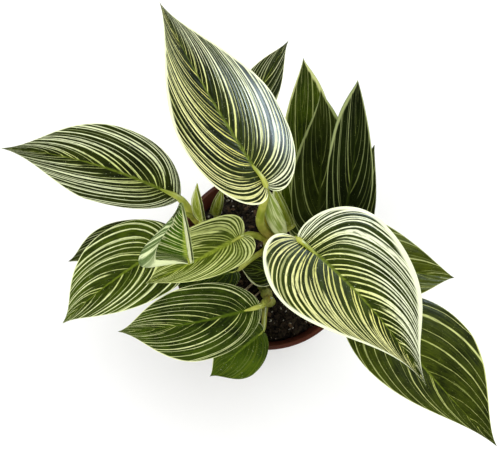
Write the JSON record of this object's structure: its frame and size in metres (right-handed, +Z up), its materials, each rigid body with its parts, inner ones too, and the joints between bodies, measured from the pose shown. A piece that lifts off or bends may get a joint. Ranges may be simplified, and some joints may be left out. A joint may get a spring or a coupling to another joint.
{
  "type": "potted philodendron birkin",
  "caption": "Potted house plant with large heart-shaped leaves, dark green with fine cream stripes, on short stems in a tapered round grower pot.",
  "frame": {"origin": "centre of the pot's flat underside", "axes": "+Z up, +X to the right of the front view, and -Y to the front"},
  "size_m": [0.3152, 0.2512, 0.2173],
  "materials": {
    "pot": "satin moulded",
    "soil": "crumbly matte",
    "stem": "smooth",
    "striped": "waxy gloss",
    "plain": "waxy gloss",
    "young": "smooth"
  },
  "bodies": {
    "root": {"pot": "pot", "soil": "soil", "stem_centre": "stem", "stem_left": "stem", "stem_right": "stem", "stem_front": "stem", "new_leaf": "young", "leaf_top": "striped", "leaf_right_front": "striped", "leaf_left_middle": "striped", "leaf_left_back": "striped", "leaf_left_front": "striped", "leaf_left_low": "striped", "leaf_front": "striped", "leaf_front_low": "plain", "leaf_left_under": "plain", "leaf_centre_low": "plain", "leaf_right_low": "striped", "leaf_right_back": "striped", "leaf_back_right": "striped", "leaf_back_middle": "striped", "leaf_back_left": "striped", "leaf_back_far": "striped", "leaf_back_edge": "striped", "leaf_left_young": "striped", "sheath_left": "stem", "sheath_centre": "stem", "shoot": "stem"}
  },
  "joints": []
}
